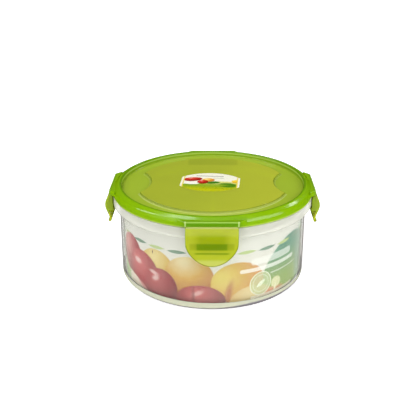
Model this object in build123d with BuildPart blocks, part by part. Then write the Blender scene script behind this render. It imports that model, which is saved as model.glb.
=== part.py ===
from build123d import *
from math import pi
import os

# Round food container with a lid that snaps shut on four latches.
# Millimetres, +Z up. The origin is the centre of the foot ring, on the surface it stands on,
# and the front latch faces -Y. A (radius, height) pair is a point of a section.

# Tub
wall_radius = 66.0  # outside of the straight wall
wall_thickness = 1.6
foot_outer_radius = 63.4
foot_inner_radius = 59.0
base_underside = 1.8  # the base stands clear inside the foot ring, so it clears the panel of a lid below
floor_height = 3.4
floor_corner_radius = 2.0
collar_radius = 70.3  # thick band that the latches hook under
collar_bottom = 53.3
collar_top = 61.0
rim_inner_radius = 67.0
rim_outer_radius = 68.3
rim_top = 64.4

# Lid
lid_top = 68.0
crest_inner_radius = 64.4
crest_outer_radius = 66.4
skirt_radius = 70.2
skirt_inner_radius = 68.7
skirt_bottom = 61.3
plug_outer_radius = 66.6
plug_inner_radius = 65.0
plug_bottom = 58.0
seal_groove_top = 65.8
recess_floor = 64.6
lid_wall = 1.7  # the channel and the panel are equally thick
panel_top = 66.1  # raised panel in the middle of the recess
panel_radius = 53.5
panel_step = 1.2  # the pocket under the panel is this much smaller all round
panel_edge_radius = 0.5
bite_reach = 43.5  # where the two finger bites come nearest to the middle
bite_radius = 34.0
gate_radius = 3.0  # shallow dimple left by the injection gate, under the base and under the lid
gate_depth = 0.3

# Flat pads on the lid that carry the latches. Their ends run back into the round skirt at a slant.
pad_distance = 71.4
pad_half_width = 16.9
pad_root_distance = 66.6
pad_root_half_width = 22.0
pad_underside = 63.3
pad_top = 66.5
pad_edge_radius = 0.8
pad_corner_radius = 1.5

# Latches, built as moulded: shut
latch_half_width = 16.7
latch_top = 62.5
latch_arc_height = 52.3  # the sides are straight above this, and half an ellipse below it
latch_tip = 37.4
latch_edge_radius = 0.35
side_rib_thickness = 1.3
side_rib_radius = 69.2
side_rib_bottom = 51.2
hook_half_width = 9.6
hook_bottom = 46.6
hook_top = 51.9
hook_clearance = 0.25
gusset_thickness = 1.2  # two short ribs between the hook and the top of the latch
gusset_top = 61.0
grip_ridge_half_width = 11.5  # low ridge for the fingertips, inside, below the hook
grip_ridge_bottom = 44.7
grip_ridge_height = 0.8
web_thickness = 0.5
web_half_width = 16.0

# Soft and printed pieces
seal_height = 1.2
seal_side_gap = 0.05
liner_outer_radius = 64.2
liner_thickness = 0.25
liner_bottom = 5.0
liner_top = 52.8
liner_seam_width = 1.6
sticker_thickness = 0.15
sticker_centre = (-1.6, 0.3)
sticker_half_length = 20.9
sticker_end_half_width = 8.8
sticker_middle_half_width = 18.0
sticker_turn = -4.3

compass = {"right": 0, "back": 90, "left": 180, "front": 270}  # degrees from +X


def finish(part, name):
    """Labels a finished piece and writes its STEP file."""
    part.label = name
    export_step(part, f"parts/{name}.step")


def outward(angle):
    """The direction from the middle of the container towards one latch."""
    return Vector(1, 0, 0).rotate(Axis.Z, angle)


def side_view(angle):
    """Plane through the middle of a latch: local x is the radius, local y is the height."""
    return Plane(origin=(0, 0, 0), x_dir=outward(angle), z_dir=outward(angle - 90))


def face_view(angle):
    """Plane that looks at a latch from outside: local x runs across it, local y is the height."""
    return Plane(origin=(0, 0, 0), x_dir=outward(angle + 90), z_dir=outward(angle))


os.makedirs("parts", exist_ok=True)

# Tub: one wall section turned about the middle, with a foot ring, a thick collar and a thin rim.
wall_inner_radius = wall_radius - wall_thickness
tub_section = (
    # radius, height, corner radius
    (0, base_underside, 0),
    (foot_inner_radius - 1.2, base_underside, 0.5),
    (foot_inner_radius, 0, 0.3),
    (foot_outer_radius, 0, 0.8),
    (wall_radius, 2.8, 2.4),
    (wall_radius, collar_bottom, 0.8),
    (collar_radius, collar_bottom, 2.0),
    (collar_radius, collar_top, 0.5),
    (rim_outer_radius, collar_top, 0),
    (rim_outer_radius, rim_top, 0.6),
    (rim_inner_radius, rim_top, 0.6),
    (rim_inner_radius, 56.0, 1.2),
    (wall_inner_radius, 53.9, 1.2),
    (wall_inner_radius, floor_height, floor_corner_radius),
    (0, floor_height, 0),
)
with BuildPart() as tub:
    with BuildSketch(Plane.XZ):
        with BuildLine():
            FilletPolyline(
                *[(radius, height) for radius, height, _ in tub_section],
                radius=[corner for _, _, corner in tub_section],
                close=True,
            )
        make_face()
    revolve(axis=Axis.Z)
    with BuildSketch(Plane.XY.offset(base_underside)):
        Circle(gate_radius)
    extrude(amount=gate_depth, mode=Mode.SUBTRACT)
finish(tub.part, "tub")

# Printed liner: a strip of card curled round the inside of the wall, its ends meeting at the back.
with BuildPart() as printed_liner:
    with BuildSketch(Plane.XY.offset(liner_bottom)):
        Circle(liner_outer_radius)
        Circle(liner_outer_radius - liner_thickness, mode=Mode.SUBTRACT)
        with Locations((0, liner_outer_radius)):
            Rectangle(liner_seam_width, 4, mode=Mode.SUBTRACT)
    extrude(amount=liner_top - liner_bottom)
finish(printed_liner.part, "printed_liner")

# Pads: four flats that stand out from the skirt.
with BuildPart() as pads:
    with BuildSketch(Plane.XY.offset(pad_underside)):
        with PolarLocations(0, len(compass)):
            Polygon(
                (pad_distance, -pad_half_width),
                (pad_distance, pad_half_width),
                (pad_root_distance, pad_root_half_width),
                (pad_root_distance, -pad_root_half_width),
                align=None,
            )
    extrude(amount=pad_top - pad_underside)
    upright_corners = pads.edges().filter_by(Axis.Z).sort_by(lambda edge: -edge.center().length)[: 2 * len(compass)]
    fillet(upright_corners, pad_corner_radius)
    fillet(pads.faces().filter_by(Axis.Z).group_by(Axis.Z)[-1].edges(), pad_edge_radius)


def panel_outline(inset):
    """Sketches the raised panel's outline, made smaller all round by the inset."""
    bite_centre = bite_reach + bite_radius
    Circle(panel_radius - inset)
    with Locations((-bite_centre, 0), (bite_centre, 0)):
        Circle(bite_radius + inset, mode=Mode.SUBTRACT)


# Lid: a turned shell with a recessed top, a seal groove underneath and the four pads.
recess_underside = recess_floor - lid_wall
lid_section = (
    (0, recess_underside, 0),
    (plug_inner_radius, recess_underside, 0.8),
    (plug_inner_radius, plug_bottom, 0.5),
    (plug_outer_radius, plug_bottom, 0.5),
    (plug_outer_radius, seal_groove_top, 0),
    (skirt_inner_radius, seal_groove_top, 0),
    (skirt_inner_radius, skirt_bottom, 0),
    (skirt_radius, skirt_bottom, 0.4),
    (skirt_radius, 64.4, 1.5),
    (69.0, 66.4, 2.0),
    (crest_outer_radius, lid_top, 1.5),
    (crest_inner_radius, lid_top, 0.6),
    (crest_inner_radius - 0.5, recess_floor, 0.6),
    (0, recess_floor, 0),
)
with BuildPart() as lid:
    with BuildSketch(Plane.XZ):
        with BuildLine():
            FilletPolyline(
                *[(radius, height) for radius, height, _ in lid_section],
                radius=[corner for _, _, corner in lid_section],
                close=True,
            )
        make_face()
    revolve(axis=Axis.Z)
    add(pads.part)
    # The pads are trimmed back out of the seal groove.
    with BuildSketch(Plane.XY.offset(plug_bottom)):
        Circle(skirt_inner_radius)
        Circle(plug_outer_radius, mode=Mode.SUBTRACT)
    extrude(amount=seal_groove_top - plug_bottom, mode=Mode.SUBTRACT)
    with BuildSketch(Plane.XY.offset(recess_floor)):
        panel_outline(inset=0)
    extrude(amount=panel_top - recess_floor)
    panel_edges = lid.faces().filter_by(Axis.Z).filter_by_position(Axis.Z, panel_top, panel_top).edges()
    fillet(panel_edges, panel_edge_radius)
    with BuildSketch(Plane.XY.offset(recess_underside)):
        panel_outline(inset=panel_step)
    extrude(amount=panel_top - lid_wall - recess_underside, mode=Mode.SUBTRACT)
    with BuildSketch(Plane.XY.offset(panel_top - lid_wall)):
        Circle(gate_radius)
    extrude(amount=gate_depth, mode=Mode.SUBTRACT)
finish(lid.part, "lid")

# Seal: a silicone ring pushed up into the lid's groove, over the tub's rim.
with BuildPart() as seal_ring:
    with BuildSketch(Plane.XZ):
        with BuildLine():
            FilletPolyline(
                (plug_outer_radius + seal_side_gap, seal_groove_top),
                (plug_outer_radius + seal_side_gap, seal_groove_top - seal_height),
                (skirt_inner_radius - seal_side_gap, seal_groove_top - seal_height),
                (skirt_inner_radius - seal_side_gap, seal_groove_top),
                radius=[0, 0.5, 0.5, 0],
                close=True,
            )
        make_face()
    revolve(axis=Axis.Z)
finish(seal_ring.part, "seal_ring")

# Sticker: a barrel-shaped label in the middle of the raised panel, slightly askew.
sticker_plane = Plane(
    origin=(*sticker_centre, panel_top),
    x_dir=Vector(1, 0, 0).rotate(Axis.Z, sticker_turn),
    z_dir=(0, 0, 1),
)
with BuildPart() as lid_sticker:
    with BuildSketch(sticker_plane):
        with BuildLine():
            right_end = Line(
                (sticker_half_length, -sticker_end_half_width),
                (sticker_half_length, sticker_end_half_width),
            )
            left_end = Line(
                (-sticker_half_length, -sticker_end_half_width),
                (-sticker_half_length, sticker_end_half_width),
            )
            ThreePointArc(right_end @ 1, (0, sticker_middle_half_width), left_end @ 1)
            ThreePointArc(right_end @ 0, (0, -sticker_middle_half_width), left_end @ 0)
        make_face()
    extrude(amount=sticker_thickness)
finish(lid_sticker.part, "lid_sticker")

# Latches: a bowed skin with a flared tip, two side ribs, and a hook that reaches in below the collar.
outer_curve = (
    (71.4, latch_top),
    (73.7, 59.1),
    (74.6, 55.6),
    (73.9, 51.6),
    (72.6, 47.6),
    (72.5, 43.8),
    (73.6, 40.3),
    (76.4, 36.7),
)
inner_curve = (
    (70.5, latch_top),
    (72.3, 58.9),
    (73.2, 55.6),
    (72.5, 51.9),
    (71.2, 47.9),
    (71.1, 43.5),
    (72.3, 39.6),
    (75.5, 36.2),
)
rib_section = (
    (70.2, latch_top),
    (71.0, latch_top),
    (73.0, 59.1),
    (73.9, 55.6),
    (73.1, side_rib_bottom),
    (side_rib_radius - 0.6, side_rib_bottom),
    (side_rib_radius, side_rib_bottom + 2.2),
    (side_rib_radius, latch_top - 1.2),
)
hook_section = (
    (69.5, hook_top),
    (73.2, hook_top),
    (71.8, hook_bottom),
    (71.0, hook_bottom),
    (69.5, hook_bottom + 2.4),
)
lip_section = (
    (68.0, hook_top),
    (73.2, hook_top),
    (73.0, side_rib_bottom),
    (68.0, side_rib_bottom),
)
gusset_section = (
    (70.4, gusset_top),
    (72.0, gusset_top),
    (73.5, 56.5),
    (73.4, hook_top - 0.5),
    (70.4, hook_top - 0.5),
)
grip_ridge_section = (
    (71.6, grip_ridge_bottom),
    (70.5, grip_ridge_bottom + 0.2),
    (70.5, grip_ridge_bottom + grip_ridge_height - 0.2),
    (71.6, grip_ridge_bottom + grip_ridge_height),
)


rib_middle = latch_half_width - side_rib_thickness / 2
gusset_middle = hook_half_width - gusset_thickness / 2
latch_bars = (
    # section, half width, where its middle is across the latch
    (hook_section, hook_half_width, 0),
    (lip_section, latch_half_width, 0),
    (grip_ridge_section, grip_ridge_half_width, 0),
    (rib_section, side_rib_thickness / 2, -rib_middle),
    (rib_section, side_rib_thickness / 2, rib_middle),
    (gusset_section, gusset_thickness / 2, -gusset_middle),
    (gusset_section, gusset_thickness / 2, gusset_middle),
)


def latch(angle):
    """One latch, hanging shut below its pad."""
    with BuildPart() as piece:
        with BuildSketch(side_view(angle)):
            with BuildLine():
                outside = Spline(*outer_curve)
                inside = Spline(*inner_curve)
                Line(outside @ 0, inside @ 0)
                Line(outside @ 1, inside @ 1)
            make_face()
        extrude(amount=latch_half_width, both=True)
        for section, half_width, middle in latch_bars:
            with BuildSketch(side_view(angle).offset(middle)):
                Polygon(*section, align=None)
            extrude(amount=half_width, both=True)
        # The hook's nose runs concentric with the collar, just outside it, so the lid can lift straight off.
        with BuildSketch(Plane.XY.offset(grip_ridge_bottom)):
            Circle(collar_radius + hook_clearance)
        extrude(amount=gusset_top - grip_ridge_bottom + 0.1, mode=Mode.SUBTRACT)
        with BuildSketch(face_view(angle).offset(60)):
            with Locations((0, latch_arc_height)):
                Ellipse(latch_half_width, latch_arc_height - latch_tip)
                Rectangle(2 * latch_half_width, 12, align=(Align.CENTER, Align.MIN))
        extrude(amount=20, mode=Mode.INTERSECT)
        outer_face = piece.faces().filter_by(GeomType.EXTRUSION).sort_by(Axis((0, 0, 0), outward(angle)))[-1]
        fillet(outer_face.edges().sort_by(Axis.Z)[:-1], latch_edge_radius)
    return piece.part


def hinge_web(angle):
    """The thin strip that joins a latch to its pad, and bends when the latch opens."""
    with BuildPart() as web:
        with BuildSketch(face_view(angle).offset(pad_distance - web_thickness)):
            with Locations((0, latch_top)):
                Rectangle(
                    2 * web_half_width,
                    pad_underside - latch_top,
                    align=(Align.CENTER, Align.MIN),
                )
        extrude(amount=web_thickness)
    return web.part


for place, angle in compass.items():
    finish(latch(angle), f"latch_{place}")
    finish(hinge_web(angle), f"hinge_web_{place}")

print(f"inside volume below the rim: {pi * wall_inner_radius**2 * (rim_top - floor_height) / 1000:.0f} ml")
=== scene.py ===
"""Round food container: a green snap lid on a milky clear tub with a printed liner. Metres, +Z up."""

from math import cos, pi, radians, sin

import bmesh
import bpy
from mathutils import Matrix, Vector


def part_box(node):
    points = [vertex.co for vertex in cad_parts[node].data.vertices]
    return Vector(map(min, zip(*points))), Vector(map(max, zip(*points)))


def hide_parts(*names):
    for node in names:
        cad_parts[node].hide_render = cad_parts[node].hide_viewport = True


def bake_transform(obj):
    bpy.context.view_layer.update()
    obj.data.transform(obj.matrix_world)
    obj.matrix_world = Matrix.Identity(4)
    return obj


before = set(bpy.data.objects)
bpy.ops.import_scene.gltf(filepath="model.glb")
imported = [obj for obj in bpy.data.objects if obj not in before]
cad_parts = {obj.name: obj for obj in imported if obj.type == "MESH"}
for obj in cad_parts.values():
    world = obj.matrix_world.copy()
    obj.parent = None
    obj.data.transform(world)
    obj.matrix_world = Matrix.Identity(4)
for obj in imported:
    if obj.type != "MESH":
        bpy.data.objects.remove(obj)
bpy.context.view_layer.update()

MM = 0.001
COMPASS = {"right": 0, "back": 90, "left": 180, "front": 270}  # degrees from +X

_, lid_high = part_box("lid")
sticker_low, sticker_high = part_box("lid_sticker")


# Heights, radii and half widths that the plastics' tones follow

PRINT_BOTTOM = 5.0 * MM
WALL_INNER = 64.4 * MM
COLLAR_BOTTOM = 53.3 * MM
SKIRT_BOTTOM = 61.3 * MM
SKIRT_INNER = 68.7 * MM
CREST_INNER = 64.4 * MM
CREST_TOP = lid_high.z
RECESS_RADIUS = 63.9 * MM
PANEL_RADIUS = 53.5 * MM
PANEL_TOP = sticker_low.z
CHANNEL_FLOOR = PANEL_TOP - 1.5 * MM
BITE_CENTRE = 77.5 * MM  # from the lid's axis, to the left and to the right
BITE_RADIUS = 34.0 * MM
PAD_DISTANCE = lid_high.x
PAD_HALF = 16.9 * MM
PAD_START = 69.2 * MM
PAD_TOP = 66.5 * MM
LATCH_HALF = 16.7 * MM
LATCH_TOP = 62.5 * MM
LATCH_ROUND = 52.3 * MM  # where the straight sides end and the half ellipse begins
LATCH_TIP = 37.4 * MM
HOOK_HALF = 9.6 * MM
HOOK_SIDES = 14.0 * MM  # half the width between the outer gussets
HOOK_BOTTOM = 47.8 * MM  # of the hook's shade on the skin, 1.2 mm above the hook itself
HOOK_TOP = 53.1 * MM
GRIP_BOTTOM = 44.9 * MM


# Plastics: tints of the light that passes, and the shares of light that stops at a surface

MILKY_TINT = (0.965, 0.97, 0.96, 1)
LID_TINT = (0.60, 0.74, 0.06, 1)
LATCH_TINT = (0.74, 0.82, 0.10, 1)
HAZE_LOW = 0.05
HAZE_HIGH = 0.08
HAZE_EDGE_ON = 0.3
HAZE_COLLAR = 0.42
HAZE_FOOT = 0.85
# painted shade: the share of grey laid along the standing edge
HAZE_STANDING_EDGE_SHADE = 0.9
LID_SOLID = 0.88
LID_THINNED = 0.16  # less in the recess
LATCH_SOLID = 0.66
LATCH_THICKENED = 0.2  # more at the hook


# Prints

PRINT_RADIUS = 66.0  # millimetres round the print are counted at this radius
LEAVES = 26  # round the whole container
LEAF_PITCH = 2 * pi * PRINT_RADIUS / LEAVES
LEAF_HEIGHT = 40.4
LEAF_LENGTH = 14.4
LEAF_WIDTH = 2.4
BADGE = (35, 15.4)
STICKER_TURN = -4.3
STICKER_HALF_LENGTH = 20.9


# Camera

camera_distance = 0.5107
camera_elevation = radians(22.84)
camera_azimuth = radians(0.47)
camera_target = Vector((-1.8 * MM, 0, 44.7 * MM))
camera_lens = 60.7  # mm, on a 36 mm sensor


def make_camera():
    data = bpy.data.cameras.new("camera")
    data.lens = camera_lens
    data.sensor_width = 36
    data.clip_start = 0.01
    data.clip_end = 20
    camera = bpy.data.objects.new("camera", data)
    bpy.context.scene.collection.objects.link(camera)
    flat = camera_distance * cos(camera_elevation)
    height = camera_distance * sin(camera_elevation)
    away = Vector((flat * sin(camera_azimuth), -flat * cos(camera_azimuth), height))
    camera.location = camera_target + away
    camera.rotation_euler = (-away).to_track_quat("-Z", "Y").to_euler()
    bpy.context.scene.camera = camera


# Shader graphs


class Graph:
    """The node tree of a material or world. Its calls take numbers, colours or other nodes' outputs."""

    def __init__(self, owner):
        owner.use_nodes = True
        self.owner = owner
        self.tree = owner.node_tree
        self.tree.nodes.clear()

    def node(self, kind, inputs=None, **settings):
        made = self.tree.nodes.new(kind)
        for key, value in settings.items():
            setattr(made, key, value)
        for key, value in (inputs or {}).items():
            socket = made.inputs[key]
            if isinstance(value, bpy.types.NodeSocket):
                self.tree.links.new(value, socket)
            else:
                socket.default_value = value
        return made

    def math(self, operation, first, second=0.0, clamp=False):
        made = self.node("ShaderNodeMath", {0: first, 1: second}, operation=operation, use_clamp=clamp)
        return made.outputs[0]

    def plus(self, first, second):
        return self.math("ADD", first, second)

    def minus(self, first, second):
        return self.math("SUBTRACT", first, second)

    def times(self, first, second):
        return self.math("MULTIPLY", first, second)

    def vector(self, operation, first, second=(0, 0, 0)):
        made = self.node("ShaderNodeVectorMath", {0: first, 1: second}, operation=operation)
        return made.outputs["Value" if operation in ("LENGTH", "DOT_PRODUCT", "DISTANCE") else "Vector"]

    def remap(self, value, low, high, to_low=0.0, to_high=1.0, smooth=True):
        made = self.node(
            "ShaderNodeMapRange",
            {"Value": value, "From Min": low, "From Max": high, "To Min": to_low, "To Max": to_high},
            interpolation_type="SMOOTHSTEP" if smooth else "LINEAR",
        )
        return made.outputs["Result"]

    def blend(self, share, first, second):
        """A colour that is first where share is 0 and second where it is 1."""
        made = self.node("ShaderNodeMix", {"Factor": share, "A": first, "B": second}, data_type="RGBA")
        return made.outputs["Result"]

    def layers(self, tone, *laid):
        """The tone with shades laid over it in turn, each given as its mask, strength and colour."""
        for mask, strength, shade in laid:
            tone = self.blend(self.times(mask, strength), tone, shade)
        return tone

    def turn(self, vector, degrees):
        """The vector turned about Z."""
        inputs = {"Vector": vector, "Angle": radians(degrees)}
        return self.node("ShaderNodeVectorRotate", inputs, rotation_type="Z_AXIS").outputs[0]

    def noise(self, scale, detail=3.0, roughness=0.5, where=None):
        inputs = {"Scale": scale, "Detail": detail, "Roughness": roughness}
        inputs["Vector"] = where or self.position()
        return self.node("ShaderNodeTexNoise", inputs).outputs["Fac"]

    def position(self):
        return self.node("ShaderNodeTexCoord").outputs["Object"]

    def separate(self, vector):
        made = self.node("ShaderNodeSeparateXYZ", {0: vector})
        return made.outputs["X"], made.outputs["Y"], made.outputs["Z"]

    def combine(self, x, y, z=0.0):
        return self.node("ShaderNodeCombineXYZ", {"X": x, "Y": y, "Z": z}).outputs[0]

    def bump(self, height, strength, distance):
        inputs = {"Height": height, "Strength": strength, "Distance": distance}
        return self.node("ShaderNodeBump", inputs).outputs["Normal"]

    def shine(self, **sockets):
        inputs = {key.replace("_", " "): value for key, value in sockets.items()}
        return self.node("ShaderNodeBsdfPrincipled", inputs).outputs["BSDF"]

    def finish(self, shader, output="ShaderNodeOutputMaterial"):
        self.node(output, {"Surface": shader})
        return self.owner


def new_material(name):
    return Graph(bpy.data.materials.new(name))


def colour(red, green, blue):
    """A display colour, 0 to 255, as the linear colour that shaders take."""
    parts = [value / 255 for value in (red, green, blue)]
    return [p / 12.92 if p <= 0.04045 else ((p + 0.055) / 1.055) ** 2.4 for p in parts] + [1.0]


def see_through(graph, solid_share, tint, solid):
    """A plastic that lets part of what is behind it show, tinted, and is milky for the rest."""
    clear = graph.node("ShaderNodeBsdfTransparent", {"Color": tint}).outputs[0]
    return graph.node("ShaderNodeMixShader", {0: solid_share, 1: clear, 2: solid}).outputs[0]


def radius_from(g, x, y):
    return g.math("SQRT", g.plus(g.times(x, x), g.times(y, y)))


def four_sided(g, x, y):
    """Distances on parts that repeat on four sides: sideways from the middle and outwards from the axis."""
    side, front = g.math("ABSOLUTE", x), g.math("ABSOLUTE", y)
    return g.math("MINIMUM", side, front), g.math("MAXIMUM", side, front)


def band(g, value, low, high, soft):
    """1 between low and high, fading out over soft."""
    return g.times(g.remap(value, low - soft, low + soft), g.remap(value, high + soft, high - soft))


def turned_away(g, start, end):
    """0 where a clear wall is seen square on, 1 where it is seen edge on, with more plastic to cross. It
    also places the tub's painted grey edge shade.
    """
    facing = g.node("ShaderNodeLayerWeight", {"Blend": 0.5}).outputs["Facing"]
    return g.remap(facing, start, end)


def milky_plastic():
    """The tub: clear with a white haze, cloudier in the collar and the foot, with painted grey shade where
    seen edge on and along the standing edge.
    """
    g = new_material("milky_plastic")
    x, y, z = g.separate(g.position())
    in_collar = g.remap(z, COLLAR_BOTTOM - 1.2 * MM, COLLAR_BOTTOM + 0.4 * MM)
    # the outer face is hazy a little higher up than the inner one, so that the print's edge stays light
    outer_face = g.remap(radius_from(g, x, y), WALL_INNER + 0.3 * MM, WALL_INNER + 0.8 * MM)
    below_print = g.times(g.remap(z, PRINT_BOTTOM + 1.3 * MM, PRINT_BOTTOM + 0.7 * MM), outer_face)
    in_foot = g.math("MAXIMUM", below_print, g.remap(z, PRINT_BOTTOM - 0.4 * MM, PRINT_BOTTOM - 0.8 * MM))
    haze = g.remap(g.noise(28, 4, 0.6), 0.3, 0.7, HAZE_LOW, HAZE_HIGH)
    haze = g.plus(haze, g.times(turned_away(g, 0.5, 0.95), HAZE_EDGE_ON))
    haze = g.plus(haze, g.times(in_collar, HAZE_COLLAR))
    haze = g.math("ADD", haze, g.times(in_foot, HAZE_FOOT), clamp=True)
    # painted shade: the standing edge is grey, in a band that is taller on the right
    edge_shade_top = g.remap(x, -5 * MM, 30 * MM, 1.9 * MM, 4.2 * MM)
    standing_edge_shade = g.remap(g.minus(z, edge_shade_top), 0.0, -1.1 * MM)
    haze = g.math("MAXIMUM", haze, g.times(standing_edge_shade, HAZE_STANDING_EDGE_SHADE))
    tone = g.blend(g.noise(18, 2), colour(238, 237, 226), colour(228, 229, 216))
    tone = g.layers(tone, (in_foot, 1.0, colour(194, 196, 172)), (standing_edge_shade, 1.0, colour(128, 124, 128)))
    flow = g.noise(9, 3, 0.5, g.vector("MULTIPLY", g.position(), (1, 1, 6)))
    height = g.plus(g.times(flow, 0.7), g.times(g.noise(260, 3, 0.6), 0.05))
    solid = g.shine(
        Base_Color=tone,
        Roughness=g.remap(g.noise(220, 5, 0.7), 0.3, 0.7, 0.13, 0.22),
        IOR=1.4,
        Normal=g.bump(height, 0.10, 0.001),
    )
    clear = see_through(g, haze, MILKY_TINT, solid)
    # painted shade: a grey diffuse mixed in where the wall is seen edge on, standing for the darker
    # surroundings that the clear wall shows at its edges
    rim = g.node("ShaderNodeBsdfDiffuse", {"Color": colour(132, 130, 130)}).outputs[0]
    below_collar = g.remap(z, COLLAR_BOTTOM + 4 * MM, COLLAR_BOTTOM - 2 * MM)
    on_wall = g.times(below_collar, g.remap(z, PRINT_BOTTOM, PRINT_BOTTOM + 2 * MM))
    edge = g.times(turned_away(g, 0.77, 0.95), on_wall)
    return g.finish(g.node("ShaderNodeMixShader", {0: edge, 1: clear, 2: rim}).outputs[0])


def gloss_variation(g):
    """Roughness and bump of glossy moulded plastic: flow waves, fine orange peel, small handling marks."""
    flow = g.noise(14, 3, 0.5)
    peel = g.noise(420, 3, 0.6)
    marks = g.noise(60, 6, 0.75, g.vector("MULTIPLY", g.position(), (1, 9, 1)))
    height = g.plus(g.times(flow, 0.8), g.times(peel, 0.04))
    rough = g.plus(g.remap(marks, 0.35, 0.75, 0.11, 0.2), g.remap(peel, 0.3, 0.7, 0.0, 0.03))
    return rough, g.bump(height, 0.09, 0.001)


def green_plastic(g, tone, solid_share, tint):
    """The finished plastic of the lid and the latches."""
    rough, normal = gloss_variation(g)
    solid = g.shine(Base_Color=tone, Roughness=rough, IOR=1.45, Normal=normal)
    return g.finish(see_through(g, solid_share, tint, solid))


def inside_panel(g, x, y, radius):
    """How far a point is inside the panel's outline: a circle with a round bite at the left and right."""
    sideways = g.minus(g.math("ABSOLUTE", x), BITE_CENTRE)
    from_bite = g.minus(radius_from(g, sideways, y), BITE_RADIUS)
    return g.math("MINIMUM", g.minus(PANEL_RADIUS, radius), from_bite)


def recess_tone(g, x, y, inside, cloud):
    """The lid's thin wall: the channel, made paler in front by painted light, and the panel, made lighter
    and yellower towards the right by painted light.
    """
    channel = g.blend(cloud, colour(172, 196, 50), colour(180, 204, 62))
    # painted light: the channel paler towards the front
    channel = g.layers(channel, (g.remap(y, -42 * MM, -60 * MM), 0.7, colour(206, 222, 104)))
    # painted light: the panel lighter and yellower towards the right, mixed with the random cloud
    light_to_right = g.remap(x, -PANEL_RADIUS, PANEL_RADIUS)
    cloud_and_light = g.plus(g.times(cloud, 0.5), g.times(light_to_right, 0.5))
    panel = g.blend(cloud_and_light, colour(168, 178, 30), colour(208, 207, 46))
    return g.blend(g.remap(inside, -0.2 * MM, 0.3 * MM), channel, panel)


def lid_plastic():
    """The lid: deep green in the doubled rim, olive and paler where one thin wall spans the recess."""
    g = new_material("green_lid")
    x, y, z = g.separate(g.position())
    radius = radius_from(g, x, y)
    across, along = four_sided(g, x, y)
    inside = inside_panel(g, x, y, radius)
    in_recess = g.remap(radius, RECESS_RADIUS + 0.6 * MM, RECESS_RADIUS - 0.4 * MM)
    on_top = g.remap(z, CHANNEL_FLOOR - 1.0 * MM, CHANNEL_FLOOR - 0.2 * MM)
    thin = g.times(in_recess, on_top)
    cloud = g.noise(22, 3, 0.55)
    rim = g.blend(cloud, colour(126, 172, 0), colour(138, 182, 4))
    tone = g.blend(thin, rim, recess_tone(g, x, y, inside, cloud))
    # the panel's edge: painted light on its wall, stronger towards the front, and a painted shade line along
    # its top
    panel_wall_light = g.times(band(g, inside, -1.3 * MM, 0.05 * MM, 0.15 * MM), on_top)
    panel_wall_light = g.times(panel_wall_light, g.remap(y, -5 * MM, -36 * MM, 0.25, 0.85))
    near_top = g.remap(z, PANEL_TOP - 0.8 * MM, PANEL_TOP - 0.4 * MM)
    panel_edge_shade_line = g.times(band(g, inside, 0, 0.5 * MM, 0.15 * MM), near_top)
    # darker: painted shade at the foot of the recess wall, on the pads' faces, on the crest in front and
    # along its inner edge; the pads' tops are darker too
    foot_from, foot_to = RECESS_RADIUS - 0.5 * MM, RECESS_RADIUS + 0.6 * MM
    recess_foot_shade = g.times(band(g, radius, foot_from, foot_to, 0.4 * MM), in_recess)
    pad = g.times(g.remap(along, PAD_START, PAD_START + 1 * MM), g.remap(across, 20 * MM, PAD_HALF))
    # painted shade: the pads' faces darker
    face = g.remap(along, PAD_DISTANCE - 0.5 * MM, PAD_DISTANCE - 0.2 * MM)
    in_front = g.remap(y, -CREST_INNER + 1.4 * MM, -CREST_INNER - 0.6 * MM)
    front_crest_shade = g.times(in_front, g.remap(across, 26 * MM, PAD_HALF))
    on_crest = g.remap(z, CREST_TOP - 1.1 * MM, CREST_TOP - 0.6 * MM)
    crest_edge_shade = g.times(band(g, radius, CREST_INNER - 0.1 * MM, CREST_INNER + 1.2 * MM, 0.2 * MM), on_crest)
    # lighter: painted highlights along the pads' outer edges and corners and on the top of the recess wall;
    # the skirt's hem is lighter too
    at_face = g.remap(along, PAD_DISTANCE - 1.0 * MM, PAD_DISTANCE - 0.5 * MM)
    edge = g.times(at_face, g.remap(z, PAD_TOP - 0.9 * MM, PAD_TOP - 0.6 * MM))
    near_face = g.remap(along, PAD_DISTANCE - 1.6 * MM, PAD_DISTANCE - 0.6 * MM)
    corner_glint = g.times(band(g, across, PAD_HALF - 0.7 * MM, PAD_HALF + 0.2 * MM, 0.2 * MM), near_face)
    below_crest = band(g, z, CREST_TOP - 1.8 * MM, CREST_TOP - 0.8 * MM, 0.3 * MM)
    lip_highlight = g.times(below_crest, g.remap(radius, CREST_INNER + 0.4 * MM, CREST_INNER))
    low = g.remap(z, SKIRT_BOTTOM + 1.3 * MM, SKIRT_BOTTOM + 0.3 * MM)
    hem = g.times(low, g.remap(radius, SKIRT_INNER - 1.2 * MM, SKIRT_INNER - 0.2 * MM))
    # painted shade: the panel darker where the back latch and pad stand close behind it
    sideways = g.remap(g.math("ABSOLUTE", x), 20 * MM, 17.5 * MM)
    back_latch_shade = g.times(band(g, y, 37 * MM, 52 * MM, 2 * MM), sideways)
    tone = g.layers(
        tone,
        (panel_wall_light, 1.0, colour(214, 226, 130)),
        (panel_edge_shade_line, 0.6, colour(104, 126, 6)),
        (recess_foot_shade, 0.35, colour(84, 128, 4)),
        (pad, 0.6, colour(104, 142, 20)),
        (face, 0.8, colour(92, 146, 0)),
        (front_crest_shade, 0.3, colour(84, 148, 0)),
        (crest_edge_shade, 0.45, colour(60, 112, 0)),
        (edge, 0.5, colour(176, 214, 90)),
        (corner_glint, 0.6, colour(206, 230, 140)),
        (lip_highlight, 0.7, colour(196, 226, 104)),
        (hem, 0.6, colour(196, 214, 96)),
        (back_latch_shade, 0.2, colour(104, 134, 30)),
    )
    return green_plastic(g, tone, g.minus(LID_SOLID, g.times(thin, LID_THINNED)), LID_TINT)


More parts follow.
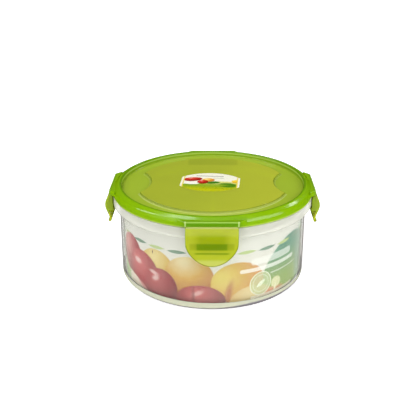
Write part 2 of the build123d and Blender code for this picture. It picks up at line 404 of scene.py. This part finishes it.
def latch_plastic():
    """The latches: yellow-green, deep green where the hook and ribs stand behind, with painted highlights
    pale at fold and tip.
    """
    g = new_material("green_latch")
    x, y, z = g.separate(g.position())
    across, _ = four_sided(g, x, y)
    # the outline's reach: 1 on the straight sides and on the half ellipse
    wide = g.math("DIVIDE", across, LATCH_HALF)
    deep = g.math("DIVIDE", g.minus(LATCH_ROUND, z), LATCH_ROUND - LATCH_TIP)
    reach = radius_from(g, wide, g.math("MAXIMUM", deep, 0.0))
    outline = g.times(band(g, reach, 0.955, 0.99, 0.01), g.remap(deep, -0.05, 0.12))
    # what stands behind the skin
    before_hook = g.remap(across, HOOK_HALF + 0.8 * MM, HOOK_HALF - 0.6 * MM)
    hook = g.times(band(g, z, HOOK_BOTTOM, HOOK_TOP, 0.5 * MM), before_hook)
    before_gussets = band(g, across, HOOK_HALF, HOOK_SIDES, 0.8 * MM)
    beside = g.times(band(g, z, HOOK_BOTTOM, HOOK_TOP, 0.8 * MM), before_gussets)
    ridge = band(g, z, GRIP_BOTTOM - 0.2 * MM, GRIP_BOTTOM + 1.0 * MM, 0.4 * MM)
    ridge = g.times(ridge, g.remap(across, 12.5 * MM, 9 * MM))
    above_hook = band(g, z, HOOK_BOTTOM, LATCH_TOP - 3 * MM, 2.5 * MM)
    middle = g.times(above_hook, g.remap(across, HOOK_SIDES, 6 * MM))
    # painted highlights: pale along the flared tip and along the fold
    tip_highlight = g.remap(z, LATCH_TIP + 4.6 * MM, LATCH_TIP + 2.6 * MM)
    fold_highlight = g.remap(z, LATCH_TOP - 0.6 * MM, LATCH_TOP - 0.1 * MM)
    end_face = g.remap(across, LATCH_HALF - 0.4 * MM, LATCH_HALF - 0.2 * MM)
    tone = g.layers(
        g.blend(g.noise(45, 3, 0.55), colour(182, 192, 36), colour(190, 199, 50)),
        (middle, 0.9, colour(158, 176, 0)),
        (beside, 0.4, colour(132, 150, 20)),
        (ridge, 0.85, colour(116, 146, 0)),
        (hook, 0.85, colour(92, 128, 0)),
        (tip_highlight, 0.6, colour(214, 216, 112)),
        (outline, 0.7, colour(120, 132, 10)),
        (fold_highlight, 0.6, colour(214, 226, 140)),
        (end_face, 0.8, colour(140, 170, 52)),
    )
    thick = g.math("MAXIMUM", hook, g.times(ridge, 0.5))
    return green_plastic(g, tone, g.plus(LATCH_SOLID, g.times(thick, LATCH_THICKENED)), LATCH_TINT)


def plain(name, tone, roughness):
    g = new_material(name)
    shade = g.blend(g.noise(60, 3), tone, [c * 0.93 for c in tone[:3]] + [1])
    return g.finish(g.shine(Base_Color=shade, Roughness=roughness))


class Artwork:
    """Flat printed shapes painted one over another. Places and sizes are in millimetres on the print."""

    def __init__(self, graph, where, ground):
        self.graph = graph
        self.where = where
        self.paint = ground

    def offset(self, centre, turn=0.0):
        """Where a point lies as seen from a shape's centre, along the shape's own axes."""
        away = self.graph.vector("SUBTRACT", self.where, (*centre, 0))
        return self.graph.turn(away, -turn) if turn else away

    def reach(self, centre, size, turn=0.0):
        """How far a point is from an ellipse's centre: 1 on its edge."""
        scaled = self.graph.vector("DIVIDE", self.offset(centre, turn), (*size, 1))
        return self.graph.vector("LENGTH", scaled)

    def lay(self, mask, shade):
        self.paint = self.graph.blend(mask, self.paint, shade)

    def ellipse(self, centre, size, shade, turn=0.0, soft=0.05, strength=1.0):
        edge = self.reach(centre, size, turn)
        self.lay(self.graph.remap(edge, 1 + soft, 1 - soft, 0, strength), shade)

    def leaf(self, centre, length, width, shade, turn=0.0):
        """A lens shape: where two large circles overlap."""
        g = self.graph
        along, across, _ = g.separate(self.offset(centre, turn))
        bow = g.math("POWER", g.math("DIVIDE", along, length / 2), 2.0)
        half_width = g.times(g.minus(1.0, bow), width / 2)
        edge = g.minus(half_width, g.math("ABSOLUTE", across))
        self.lay(g.remap(edge, -0.1, 0.1), shade)

    def fruit(self, centre, size, shades, turn=0.0, lit=(-0.35, 0.4), shine=0.0):
        """A round fruit: an ellipse shaded from its lit side to its far rim, with a soft spot of shine."""
        g = self.graph
        light, middle, dark = shades
        edge = self.reach(centre, size, turn)
        lit_at = (centre[0] + lit[0] * size[0], centre[1] + lit[1] * size[1])
        depth = g.math("DIVIDE", self.reach(lit_at, size, turn), 1.65)
        mottle = g.noise(0.35, 4, 0.6, self.where)
        depth = g.plus(depth, g.times(g.minus(mottle, 0.5), 0.22))
        ramp = g.node("ShaderNodeValToRGB", {"Fac": depth})
        stops = ramp.color_ramp.elements
        stops[0].position, stops[0].color = 0.08, light
        stops[1].position, stops[1].color = 0.95, dark
        stops.new(0.5).color = middle
        self.lay(g.remap(edge, 1.02, 0.97), ramp.outputs["Color"])
        if shine:
            spot = (size[0] * 0.22, size[1] * 0.13)
            self.ellipse(lit_at, spot, colour(255, 250, 245), turn + 25, 0.7, shine)

    def bar(self, centre, size, shade, strength=1.0):
        """A plain bar with round ends."""
        g = self.graph
        half_length, radius = size[0] / 2 - size[1] / 2, size[1] / 2
        offset = g.vector("ABSOLUTE", self.offset(centre))
        past_end = g.vector("MAXIMUM", g.vector("SUBTRACT", offset, (half_length, 0, 0)))
        edge = g.vector("LENGTH", past_end)
        self.lay(g.remap(edge, radius + 0.12, radius - 0.12, 0, strength), shade)

    def ring(self, centre, radius, width, shade):
        g = self.graph
        away = g.math("ABSOLUTE", g.minus(self.reach(centre, (radius, radius)), 1.0))
        self.lay(g.remap(away, 0.6 * width / radius, 0.4 * width / radius), shade)


# Each fruit's shades, from its lit side to its far rim
YELLOW_APPLE = [colour(232, 212, 138), colour(214, 176, 64), colour(186, 126, 42)]
ORANGE = [colour(232, 216, 164), colour(214, 166, 62), colour(180, 106, 36)]
YELLOW_PEACH = [colour(222, 202, 84), colour(212, 168, 60), colour(214, 146, 84)]
PALE_PEACH = [colour(226, 206, 150), colour(214, 178, 102), colour(196, 138, 92)]
PALE_CHERRY = [colour(218, 126, 126), colour(176, 52, 66), colour(140, 36, 52)]
CHERRY = [colour(214, 98, 104), colour(176, 42, 58), colour(132, 28, 46)]
DARK_CHERRY = [colour(192, 62, 72), colour(156, 24, 44), colour(120, 20, 38)]
LEMON = [colour(250, 226, 70), colour(236, 186, 20), colour(206, 130, 20)]
APRICOT = [colour(250, 226, 130), colour(232, 160, 50), colour(190, 90, 20)]
PLUM = [colour(200, 84, 86), colour(150, 26, 42), colour(104, 16, 32)]
TOMATO = [colour(226, 84, 60), colour(186, 30, 10), colour(120, 10, 4)]


def around_the_wall(g):
    """Millimetres on the liner: across from the front's middle, and up. The print repeats at the back."""
    x, y, z = g.separate(g.position())
    angle = g.math("ARCTAN2", x, g.times(y, -1.0))
    arc = g.times(angle, PRINT_RADIUS)
    repeat = pi * PRINT_RADIUS / 2
    wrapped = g.node("ShaderNodeMath", {0: arc, 1: repeat, 2: -repeat}, operation="WRAP").outputs[0]
    return g.combine(wrapped, g.times(z, 1000.0))


def printed_card():
    """The liner: generic fruit, a row of leaves, a green hill, plain white bars and a plain round badge."""
    g = new_material("printed_card")
    where = around_the_wall(g)
    _, up, _ = g.separate(where)
    ground = g.blend(g.remap(up, 8, 46), colour(226, 221, 203), colour(227, 226, 220))
    art = Artwork(g, where, ground)
    # the pale greens low on the left and the hill on the right
    art.ellipse((-77, 12), (5, 14), colour(168, 196, 130), soft=0.35)
    hill = g.blend(g.remap(up, 10, 40), colour(150, 178, 84), colour(84, 148, 124))
    art.ellipse((66, 8), (32, 36), hill, turn=-4, soft=0.03)
    art.ellipse((84, 20), (12, 28), colour(120, 168, 150), soft=0.25, strength=0.6)
    # a row of leaves right round the container
    for count in range(-6, 8):
        shade = colour(112, 150, 126) if count % 2 else colour(186, 206, 136)
        art.leaf(((count - 0.5) * LEAF_PITCH - 0.3, LEAF_HEIGHT), LEAF_LENGTH, LEAF_WIDTH, shade, turn=2)
    # fruit, from the back to the front
    art.fruit((-41, 24), (15, 14.8), YELLOW_APPLE, lit=(-0.1, 0.6))
    art.fruit((-16, 23), (17.5, 15), ORANGE, lit=(-0.2, 0.75))
    art.fruit((18, 19), (19, 15), YELLOW_PEACH, lit=(-0.6, 0.3))
    art.ellipse((10.5, 9), (2.4, 11), colour(176, 84, 40), turn=-14, soft=0.6, strength=0.75)
    art.fruit((29, 4), (17, 11.5), PALE_PEACH, lit=(-0.1, 0.5))
    art.ellipse((46, 6), (10, 4), colour(222, 142, 112), soft=0.3, strength=0.8)
    art.fruit((-69, 27), (14, 14.5), PALE_CHERRY, turn=-30)
    art.fruit((-54, 19), (16, 14.5), CHERRY, turn=-30, shine=0.5)
    art.fruit((-37, 12), (13, 13.5), DARK_CHERRY, shine=0.45)
    art.ellipse((-43, 21), (3.6, 1.3), colour(250, 225, 220), turn=-12, soft=0.7, strength=0.6)
    art.leaf((-61, 6), 24, 9, colour(228, 212, 196), turn=-28)
    art.leaf((-54, 7), 14, 2.4, colour(214, 150, 146), turn=-28)
    art.fruit((-8, 6), (17.5, 11.8), PLUM, lit=(-0.1, 0.5), shine=0.3)
    art.ellipse((-12.6, 8.5), (1.0, 8), colour(112, 14, 32), turn=4, soft=0.8, strength=0.6)
    art.bar((-43.6, 36), (0.9, 5), colour(110, 70, 40))
    # plain white bars and a plain badge, in place of words
    white = colour(252, 253, 250)
    art.bar((45.5, 32.4), (37, 5.0), white, 0.5)
    art.bar((43.5, 26.6), (49, 2.8), white, 0.65)
    art.bar((56.5, 21), (27, 1.1), white, 0.4)
    art.ellipse(BADGE, (8.7, 8.2), colour(196, 208, 160), strength=0.7)
    art.ring(BADGE, 8.4, 0.6, colour(236, 240, 216))
    art.ring(BADGE, 6.2, 0.4, colour(226, 232, 200))
    art.leaf(BADGE, 8.4, 3.0, colour(232, 238, 212), turn=35)
    art.ellipse((48.5, 12.6), (4.6, 4.0), colour(240, 236, 190), soft=0.2, strength=0.8)
    art.leaf((47.5, 7.6), 9, 1.8, colour(240, 236, 200), turn=80)
    art.bar((47, 6.0), (40, 2.2), colour(244, 236, 214), 0.85)
    # the card's inner face is unprinted
    outward = g.vector("DOT_PRODUCT", g.node("ShaderNodeTexCoord").outputs["Normal"], g.position())
    art.lay(g.remap(outward, 0.01, -0.01), colour(232, 230, 220))
    fibre = g.noise(900, 3, 0.6)
    shade = g.blend(g.remap(fibre, 0.3, 0.7, 0, 0.05), art.paint, colour(120, 116, 100))
    normal = g.bump(fibre, 0.15, 0.0002)
    return g.finish(g.shine(Base_Color=shade, Roughness=g.remap(fibre, 0.3, 0.7, 0.38, 0.5), Normal=normal))


def printed_label():
    """The lid's sticker: a pale sky, red and yellow fruit and a green field, with a double border."""
    g = new_material("printed_label")
    x, y, _ = g.separate(g.position())
    middle = (sticker_low + sticker_high) / 2
    flat = g.combine(g.minus(x, middle.x), g.minus(y, middle.y))
    where = g.vector("MULTIPLY", g.turn(flat, -STICKER_TURN), (1000, 1000, 1000))
    across, up, _ = g.separate(where)
    art = Artwork(g, where, colour(240, 238, 218))
    field = g.blend(g.remap(up, -15, -6), colour(186, 190, 4), colour(128, 164, 20))
    art.ellipse((1, -17), (30, 16.5), field, turn=3, soft=0.02)
    art.ellipse((8, -1.5), (14, 3), colour(214, 214, 120), soft=0.3)
    art.ellipse((12.5, -5.5), (6.5, 4), colour(74, 130, 4), turn=-6, soft=0.25)
    art.ellipse((2, -1.2), (5, 2.4), colour(62, 122, 20), turn=8, soft=0.2)
    art.ellipse((0, -6), (12, 1.6), colour(150, 176, 40), soft=0.4)
    art.fruit((18, 2), (3, 3), LEMON)
    art.fruit((-1.5, 4), (4.5, 3.4), APRICOT)
    art.fruit((-13, 4.6), (7, 3.9), TOMATO, turn=14, lit=(-0.2, 0.5), shine=0.35)
    art.fruit((-5.4, -0.2), (3.9, 3.9), TOMATO, turn=-15, lit=(-0.3, 0.5), shine=0.4)
    art.ellipse((-13, -3.4), (5.2, 2), colour(246, 244, 230), soft=0.12)
    art.bar((-11.5, -6.6), (6, 0.7), colour(96, 120, 90), 0.7)
    art.bar((-1, 11.6), (20, 1.1), colour(104, 98, 100), 0.75)
    art.bar((5.5, 7.8), (8, 0.8), colour(150, 172, 130), 0.8)
    art.bar((2, -12.4), (17, 1.6), colour(160, 170, 0), 0.8)
    # border: a yellow line inside a white edge at both ends
    from_end = g.minus(STICKER_HALF_LENGTH, g.math("ABSOLUTE", across))
    art.lay(g.remap(from_end, 2.3, 2.1), colour(226, 204, 70))
    art.lay(g.remap(from_end, 1.5, 1.3), colour(242, 240, 214))
    grain = g.noise(700, 2)
    return g.finish(g.shine(Base_Color=art.paint, Roughness=g.remap(grain, 0.3, 0.7, 0.26, 0.36)))


def paint(node, material):
    """Gives a carried-over CAD node its material."""
    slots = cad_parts[node].data.materials
    slots.clear()
    slots.append(material)


# Living hinges

HINGE_OVERLAP = 0.12 * MM  # how far the web runs into the pad above and the latch below
HINGE_NECK = 0.4  # share of the thickness that the coined groove takes away in the middle


def living_hinge(side, material):
    """The web between a pad and its latch: a strip, thinner along its middle."""
    low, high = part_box(f"hinge_web_{side}")
    angle = radians(COMPASS[side])
    outward = Vector((cos(angle), sin(angle), 0))
    sideways = Vector((-sin(angle), cos(angle), 0))
    thickness = min(high.x - low.x, high.y - low.y)
    half_width = max(high.x - low.x, high.y - low.y) / 2
    outside = max(abs(low.dot(outward)), abs(high.dot(outward)))
    rows, columns = 10, 24
    profile = []
    for row in range(rows + 1):
        share = row / rows
        height = high.z + HINGE_OVERLAP - share * (high.z - low.z + 2 * HINGE_OVERLAP)
        neck = thickness * HINGE_NECK / 2 * sin(pi * share)
        profile.append((outside - neck, height))
        profile.insert(0, (outside - thickness + neck, height))
    mesh = bpy.data.meshes.new(f"living_hinge_{side}")
    shape = bmesh.new()
    rings = []
    for column in range(columns + 1):
        centre = sideways * half_width * (2 * column / columns - 1)
        places = [centre + outward * radius + Vector((0, 0, height)) for radius, height in profile]
        rings.append([shape.verts.new(place) for place in places])
    for near, far in zip(rings, rings[1:]):
        for index in range(len(profile)):
            following = (index + 1) % len(profile)
            shape.faces.new((near[index], near[following], far[following], far[index]))
    shape.faces.new(rings[0])
    shape.faces.new(list(reversed(rings[-1])))
    bmesh.ops.recalc_face_normals(shape, faces=shape.faces)
    shape.to_mesh(mesh)
    shape.free()
    for face in mesh.polygons:
        face.use_smooth = len(face.vertices) == 4
    mesh.materials.append(material)
    piece = bpy.data.objects.new(f"living_hinge_{side}", mesh)
    bpy.context.scene.collection.objects.link(piece)
    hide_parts(f"hinge_web_{side}")
    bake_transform(piece)


# Studio

FLOOR_HALF = 8.0
FLOOR_GLOW = 0.6
DOME_RADIUS = 7.8
DOME_GLOW = 1.05
LIGHTS_AIM = (0, 0, 0.06)
WORLD_BRIGHT_SIDE = (-0.1, -0.75, 0.65)


def make_floor():
    """A white table that glows a little, so that no shadow shows. Shiny surfaces don't mirror it."""
    mesh = bpy.data.meshes.new("floor")
    corners = [(x * FLOOR_HALF, y * FLOOR_HALF, 0) for x, y in ((-1, -1), (1, -1), (1, 1), (-1, 1))]
    mesh.from_pydata(corners, [], [(0, 1, 2, 3)])
    floor = bpy.data.objects.new("floor", mesh)
    bpy.context.scene.collection.objects.link(floor)
    g = new_material("floor")
    white = colour(244, 244, 244)
    surface = g.shine(Base_Color=white, Roughness=0.9, Emission_Color=white, Emission_Strength=FLOOR_GLOW)
    mesh.materials.append(g.finish(surface))
    floor.visible_glossy = False


def make_backdrop():
    """A white dome that only the camera sees. It keeps the world's dim sides out of the picture."""
    rows, columns = 12, 48
    shape = bmesh.new()
    rings = []
    for row in range(rows + 1):
        tilt = pi / 2 * row / (rows + 0.2)
        turns = [2 * pi * column / columns for column in range(columns)]
        flat, height = DOME_RADIUS * cos(tilt), DOME_RADIUS * sin(tilt)
        rings.append([shape.verts.new((flat * cos(turn), flat * sin(turn), height)) for turn in turns])
    for lower, upper in zip(rings, rings[1:]):
        for index in range(columns):
            following = (index + 1) % columns
            shape.faces.new((lower[index], lower[following], upper[following], upper[index]))
    shape.faces.new(rings[-1])
    mesh = bpy.data.meshes.new("backdrop")
    shape.to_mesh(mesh)
    shape.free()
    g = new_material("backdrop")
    mesh.materials.append(g.finish(g.node("ShaderNodeEmission", {"Strength": DOME_GLOW}).outputs[0]))
    backdrop = bpy.data.objects.new("backdrop", mesh)
    bpy.context.scene.collection.objects.link(backdrop)
    backdrop.visible_diffuse = False
    backdrop.visible_glossy = False
    backdrop.visible_transmission = False
    backdrop.visible_shadow = False


def make_light(name, place, width, height, brightness):
    """A rectangular soft box. Its brightness is that of its face, where a sunlit white wall is about 1."""
    data = bpy.data.lights.new(name, "AREA")
    data.shape = "RECTANGLE"
    data.size = width
    data.size_y = height
    data.energy = brightness * pi * width * height
    light = bpy.data.objects.new(name, data)
    bpy.context.scene.collection.objects.link(light)
    light.location = place
    light.rotation_euler = (Vector(LIGHTS_AIM) - Vector(place)).to_track_quat("-Z", "Y").to_euler()


def make_world():
    """A bright ceiling and front wall, dim behind and below, so that edges reflect something dark."""
    g = Graph(bpy.data.worlds.new("studio"))
    direction = g.node("ShaderNodeTexCoord").outputs["Generated"]
    _, _, height = g.separate(direction)
    on_bright_side = g.vector("DOT_PRODUCT", direction, WORLD_BRIGHT_SIDE)
    toward_front = g.remap(on_bright_side, 0.3, 1.0, 0.05, 1.6)
    strength = g.times(toward_front, g.remap(height, 0.05, 0.4, 0.08, 1.0))
    light = g.node("ShaderNodeBackground", {"Color": (1, 1, 1, 1), "Strength": strength}).outputs[0]
    bpy.context.scene.world = g.finish(light, "ShaderNodeOutputWorld")


def make_studio():
    bpy.context.scene.view_settings.view_transform = "Standard"
    make_world()
    make_floor()
    make_backdrop()
    make_light("left_strip", (-0.5, 0.0, 0.72), 0.2, 0.85, 7.0)
    make_light("right_front", (0.6, -0.33, 0.46), 0.55, 0.42, 3.8)
    make_light("right_back", (0.56, 0.5, 0.64), 0.22, 0.12, 9)


make_camera()
make_studio()

paint("tub", milky_plastic())
paint("lid", lid_plastic())
latch_green = latch_plastic()
for side in COMPASS:
    paint(f"latch_{side}", latch_green)
    living_hinge(side, latch_green)
paint("seal_ring", plain("seal", colour(225, 228, 220), 0.5))
paint("printed_liner", printed_card())
paint("lid_sticker", printed_label())
